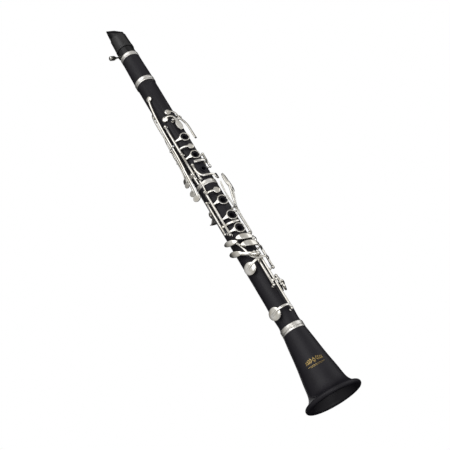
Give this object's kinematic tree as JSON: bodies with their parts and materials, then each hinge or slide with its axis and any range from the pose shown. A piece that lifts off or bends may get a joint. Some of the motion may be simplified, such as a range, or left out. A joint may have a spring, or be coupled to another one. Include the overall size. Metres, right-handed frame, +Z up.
{
  "type": "clarinet",
  "caption": "Straight cylindrical clarinet standing on its flared bell, with plated key work, finger rings, padded cups, barrel, mouthpiece, reed and ligature.",
  "frame": {"origin": "centre of the bell's rim, on the plane it stands on", "axes": "+Z up the bore towards the mouthpiece, the finger holes face -Y, +X to the right of a viewer who looks at the finger holes"},
  "size_m": [0.078, 0.078, 0.675],
  "materials": {
    "body_plastic": "satin moulded black",
    "mouthpiece_plastic": "polished black",
    "cane": "natural cane",
    "ligature_black": "black lacquer",
    "ligature_nickel": "nickel plate",
    "cork": "natural cork",
    "nickel": "polished nickel plate",
    "steel": "blued steel",
    "pad_skin": "thin skin over felt"
  },
  "bodies": {
    "instrument": {"upper_joint": "body_plastic", "lower_joint": "body_plastic", "bell": "body_plastic", "bell_ring": "nickel", "lower_joint_ring": "nickel", "tenon_corks": "cork", "register_vent_tube": "nickel", "thumb_rest": "nickel", "thumb_rest_screws": "steel", "upper_posts": "nickel", "lower_posts": "nickel", "upper_hinge_rods": "steel", "lower_hinge_rods": "steel"},
    "barrel": {"barrel": "body_plastic", "barrel_rings": "nickel"},
    "mouthpiece": {"mouthpiece": "mouthpiece_plastic", "mouthpiece_cork": "cork", "reed": "cane", "ligature_band": "ligature_black"},
    "ligature_screw": {"ligature_screw": "ligature_nickel"},
    "first_ring_key": {"first_ring_key": "nickel", "pad_first_ring": "pad_skin"},
    "second_ring_key": {"second_ring_key": "nickel"},
    "thumb_ring_key": {"thumb_ring_key": "nickel", "pad_thumb_ring": "pad_skin"},
    "left_sliver_key": {"left_sliver_key": "nickel", "pad_left_sliver": "pad_skin"},
    "c_sharp_key": {"c_sharp_key": "nickel", "pad_c_sharp": "pad_skin"},
    "lower_ring_key": {"lower_ring_key": "nickel", "pad_lower_ring": "pad_skin"},
    "right_sliver_key": {"right_sliver_key": "nickel", "pad_right_sliver": "pad_skin"},
    "a_flat_key": {"a_flat_key": "nickel", "pad_a_flat": "pad_skin"},
    "f_sharp_key": {"f_sharp_key": "nickel", "pad_f_sharp": "pad_skin"},
    "e_b_key": {"e_b_key": "nickel", "pad_e_b": "pad_skin"},
    "f_c_lever": {"f_c_lever": "nickel"},
    "f_c_cup_key": {"f_c_cup_key": "nickel", "pad_f_c": "pad_skin"},
    "throat_a_key": {"throat_a_key": "nickel", "pad_throat_a": "pad_skin"},
    "throat_g_sharp_key": {"throat_g_sharp_key": "nickel", "pad_throat_g_sharp": "pad_skin"},
    "register_key": {"register_key": "nickel", "pad_register": "pad_skin"},
    "side_key_1": {"side_key_1": "nickel", "pad_side_1": "pad_skin"},
    "side_key_2": {"side_key_2": "nickel", "pad_side_2": "pad_skin"},
    "side_key_3": {"side_key_3": "nickel", "pad_side_3": "pad_skin"},
    "side_key_4": {"side_key_4": "nickel", "pad_side_4": "pad_skin"},
    "left_f_lever": {"left_f_lever": "nickel"},
    "left_f_sharp_lever": {"left_f_sharp_lever": "nickel"},
    "left_e_lever": {"left_e_lever": "nickel"}
  },
  "joints": [
    {"name": "barrel_tuning", "type": "slide", "parent": "instrument", "child": "barrel", "axis": [0, 0, 1], "range_m": [0, 0.003]},
    {"name": "mouthpiece_turn", "type": "hinge", "parent": "barrel", "child": "mouthpiece", "pos_m": [0, 0, 0.6], "axis": [0, 0, 1], "continuous": true},
    {"name": "ligature_screw_turn", "type": "hinge", "parent": "mouthpiece", "child": "ligature_screw", "pos_m": [-0.0135, 0.017, 0.625], "axis": [1, 0, 0], "continuous": true},
    {"name": "first_ring_key_hinge", "type": "hinge", "parent": "instrument", "child": "first_ring_key", "pos_m": [-0.01628, -0.01017, 0.426], "axis": [0, 0, 1], "range_deg": [0, 5.6]},
    {"name": "second_ring_key_hinge", "type": "hinge", "parent": "instrument", "child": "second_ring_key", "pos_m": [-0.01628, -0.01017, 0.376], "axis": [0, 0, 1], "range_deg": [0, 5.6]},
    {"name": "thumb_ring_key_hinge", "type": "hinge", "parent": "instrument", "child": "thumb_ring_key", "pos_m": [0.0178, 0.00719, 0.43], "axis": [0, 0, 1], "range_deg": [0, 6.5]},
    {"name": "left_sliver_key_hinge", "type": "hinge", "parent": "instrument", "child": "left_sliver_key", "pos_m": [0.01577, -0.00986, 0.382], "axis": [0, 0, -1], "range_deg": [0, 7]},
    {"name": "c_sharp_key_hinge", "type": "hinge", "parent": "instrument", "child": "c_sharp_key", "pos_m": [-0.01198, -0.0133, 0.363], "axis": [0, 0, 1], "range_deg": [0, 6]},
    {"name": "lower_ring_key_hinge", "type": "hinge", "parent": "instrument", "child": "lower_ring_key", "pos_m": [-0.01573, -0.01101, 0.291], "axis": [0, 0, 1], "range_deg": [0, 5.6]},
    {"name": "right_sliver_key_hinge", "type": "hinge", "parent": "instrument", "child": "right_sliver_key", "pos_m": [-0.01846, -0.00529, 0.286], "axis": [0, 0, 1], "range_deg": [0, 7]},
    {"name": "a_flat_key_hinge", "type": "hinge", "parent": "instrument", "child": "a_flat_key", "pos_m": [0.00811, -0.0174, 0.238], "axis": [0, 0, -1], "range_deg": [0, 8]},
    {"name": "f_sharp_key_hinge", "type": "hinge", "parent": "instrument", "child": "f_sharp_key", "pos_m": [0.01547, -0.01298, 0.206], "axis": [0, 0, -1], "range_deg": [0, 6.2]},
    {"name": "e_b_key_hinge", "type": "hinge", "parent": "instrument", "child": "e_b_key", "pos_m": [0.00267, -0.01901, 0.169], "axis": [0, 0, -1], "range_deg": [0, 6.2]},
    {"name": "f_c_lever_hinge", "type": "hinge", "parent": "instrument", "child": "f_c_lever", "pos_m": [-0.003, -0.01896, 0.188], "axis": [0, 0, -1], "range_deg": [0, 7]},
    {"name": "f_c_cup_key_hinge", "type": "hinge", "parent": "instrument", "child": "f_c_cup_key", "pos_m": [0.0096, -0.01663, 0.167], "axis": [0, 0, 1], "range_deg": [0, 8]},
    {"name": "throat_a_key_hinge", "type": "hinge", "parent": "instrument", "child": "throat_a_key", "pos_m": [0.00065, -0.01859, 0.4565], "axis": [0.9994, 0.0349, 0], "range_deg": [0, 10]},
    {"name": "throat_g_sharp_key_hinge", "type": "hinge", "parent": "instrument", "child": "throat_g_sharp_key", "pos_m": [0.00853, -0.01675, 0.463], "axis": [0.891, 0.454, 0], "range_deg": [0, 6]},
    {"name": "register_key_hinge", "type": "hinge", "parent": "instrument", "child": "register_key", "pos_m": [0, 0.019, 0.488], "axis": [-1, 0, 0], "range_deg": [0, 3.2]},
    {"name": "side_key_1_hinge", "type": "hinge", "parent": "instrument", "child": "side_key_1", "pos_m": [-0.01989, -0.00209, 0.418], "axis": [0.1045, -0.9945, 0], "range_deg": [0, 1.6]},
    {"name": "side_key_2_hinge", "type": "hinge", "parent": "instrument", "child": "side_key_2", "pos_m": [-0.01989, -0.00209, 0.418], "axis": [0.1045, -0.9945, 0], "range_deg": [0, 1.9]},
    {"name": "side_key_3_hinge", "type": "hinge", "parent": "instrument", "child": "side_key_3", "pos_m": [-0.01639, 0.00835, 0.402], "axis": [-0.454, -0.891, 0], "range_deg": [0, 2.6]},
    {"name": "side_key_4_hinge", "type": "hinge", "parent": "instrument", "child": "side_key_4", "pos_m": [-0.01639, 0.00835, 0.402], "axis": [-0.454, -0.891, 0], "range_deg": [0, 3.4]},
    {"name": "left_f_lever_hinge", "type": "hinge", "parent": "instrument", "child": "left_f_lever", "pos_m": [0.01658, -0.01118, 0.292], "axis": [-0.5592, -0.829, 0], "range_deg": [0, 2.46]},
    {"name": "left_f_sharp_lever_hinge", "type": "hinge", "parent": "instrument", "child": "left_f_sharp_lever", "pos_m": [0.01658, -0.01118, 0.292], "axis": [-0.5592, -0.829, 0], "range_deg": [0, 2.18]},
    {"name": "left_e_lever_hinge", "type": "hinge", "parent": "instrument", "child": "left_e_lever", "pos_m": [0.01658, -0.01118, 0.292], "axis": [-0.5592, -0.829, 0], "range_deg": [0, 2.18]}
  ],
  "couplings": [
    {"joint": "f_c_cup_key_hinge", "follows": "f_c_lever_hinge", "ratio": 1.1429},
    {"joint": "left_f_lever_hinge", "follows": "f_c_lever_hinge", "ratio": 0.35},
    {"joint": "left_f_sharp_lever_hinge", "follows": "f_sharp_key_hinge", "ratio": 0.35},
    {"joint": "left_e_lever_hinge", "follows": "e_b_key_hinge", "ratio": 0.35}
  ]
}
